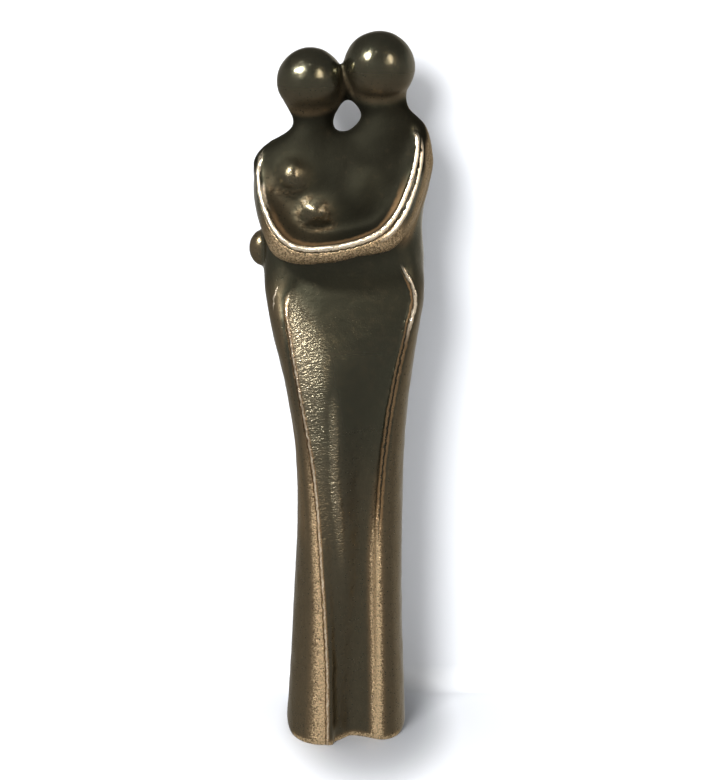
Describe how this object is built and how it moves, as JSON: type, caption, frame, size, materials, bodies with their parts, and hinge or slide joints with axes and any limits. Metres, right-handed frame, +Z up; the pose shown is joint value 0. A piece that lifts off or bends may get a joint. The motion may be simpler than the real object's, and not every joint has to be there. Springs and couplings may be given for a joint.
{
  "type": "couple with baby figure",
  "caption": "Small standing bronze of an embracing couple in one long robe, with a baby in the ring of their arms; plain ball heads, flat underside.",
  "frame": {"origin": "on the surface that the figure stands on, under the middle of its outline as seen from above", "axes": "+Z up, -Y towards the viewer (the side of the baby), +X to the viewer's right"},
  "size_m": [0.0382, 0.0266, 0.15],
  "materials": {
    "dark_bronze": "cast bronze with a dark brown patina, worn to golden metal on the arms and the hems"
  },
  "bodies": {
    "root": {"couple_with_baby": "dark_bronze"}
  },
  "joints": []
}
